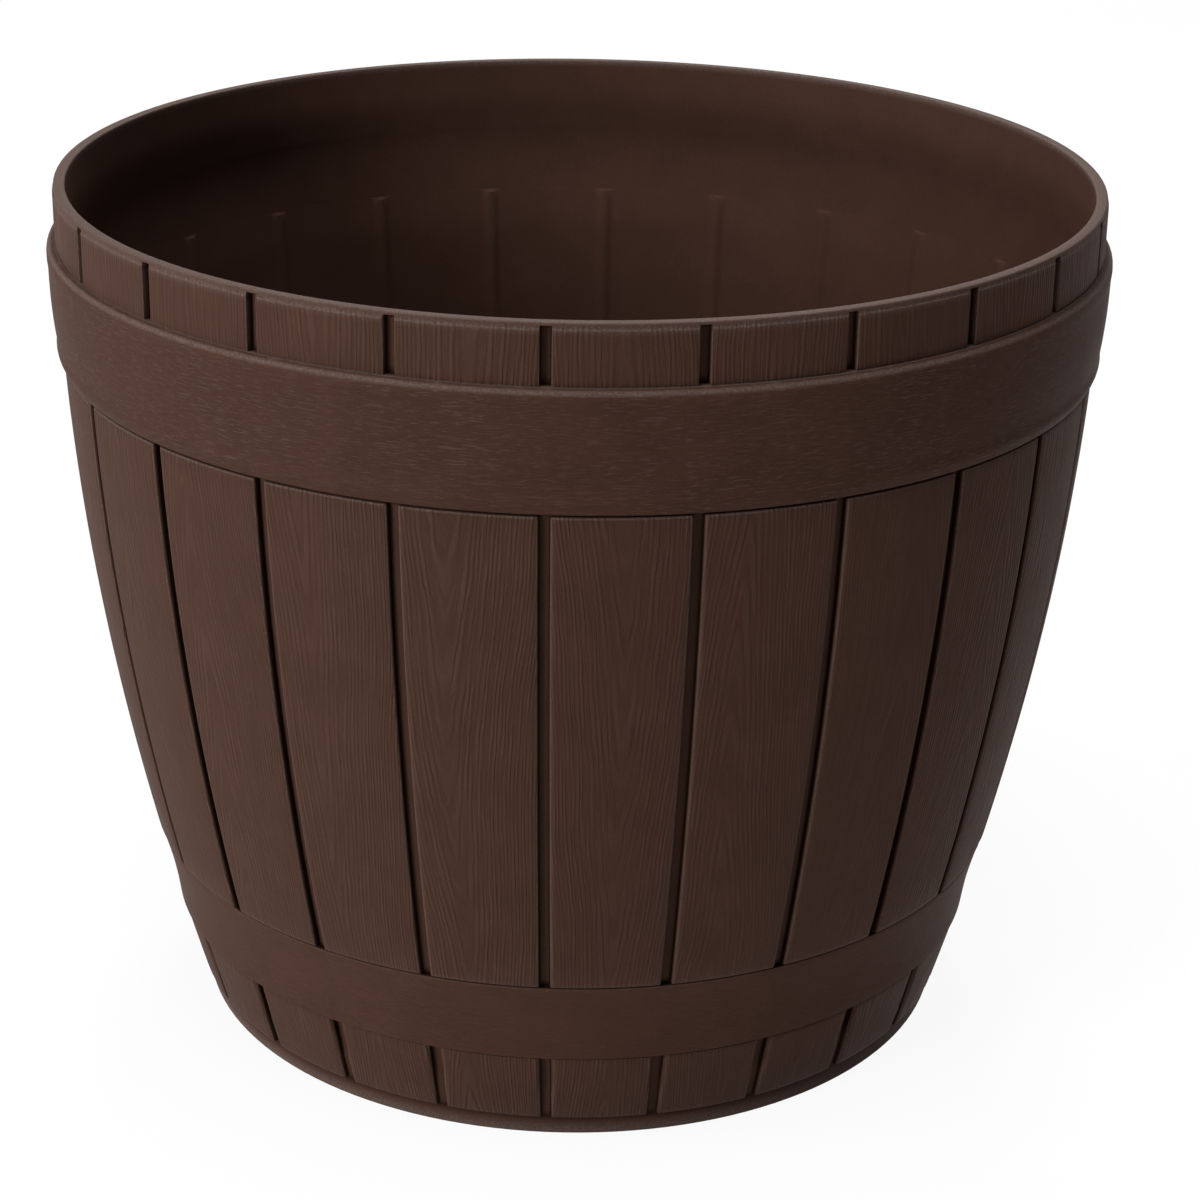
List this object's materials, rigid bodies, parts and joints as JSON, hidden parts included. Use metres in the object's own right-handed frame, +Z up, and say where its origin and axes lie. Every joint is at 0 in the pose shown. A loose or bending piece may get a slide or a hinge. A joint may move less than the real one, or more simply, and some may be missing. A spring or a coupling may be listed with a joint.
{
  "type": "barrel planter",
  "caption": "Round moulded plastic planter shaped like a half barrel of staves and hoops, with push-in plugs in the drain holes of its floor.",
  "frame": {"origin": "on the ground, at the middle of the foot ring", "axes": "+Z up along the barrel's axis; a groove between two staves faces -Y; the drain holes lie along X and Y"},
  "size_m": [0.4011, 0.4012, 0.33],
  "materials": {
    "barrel_plastic": "dark brown, satin, moulded with wood grain",
    "plug_plastic": "soft near-black, satin"
  },
  "bodies": {
    "barrel": {"barrel_shell": "barrel_plastic"},
    "plug_1": {"drain_plug_1": "plug_plastic"},
    "plug_2": {"drain_plug_2": "plug_plastic"},
    "plug_3": {"drain_plug_3": "plug_plastic"},
    "plug_4": {"drain_plug_4": "plug_plastic"}
  },
  "joints": [
    {"name": "plug_1_lift", "type": "slide", "parent": "barrel", "child": "plug_1", "axis": [0, 0, 1], "range_m": [0, 0.03]},
    {"name": "plug_2_lift", "type": "slide", "parent": "barrel", "child": "plug_2", "axis": [0, 0, 1], "range_m": [0, 0.03]},
    {"name": "plug_3_lift", "type": "slide", "parent": "barrel", "child": "plug_3", "axis": [0, 0, 1], "range_m": [0, 0.03]},
    {"name": "plug_4_lift", "type": "slide", "parent": "barrel", "child": "plug_4", "axis": [0, 0, 1], "range_m": [0, 0.03]}
  ]
}
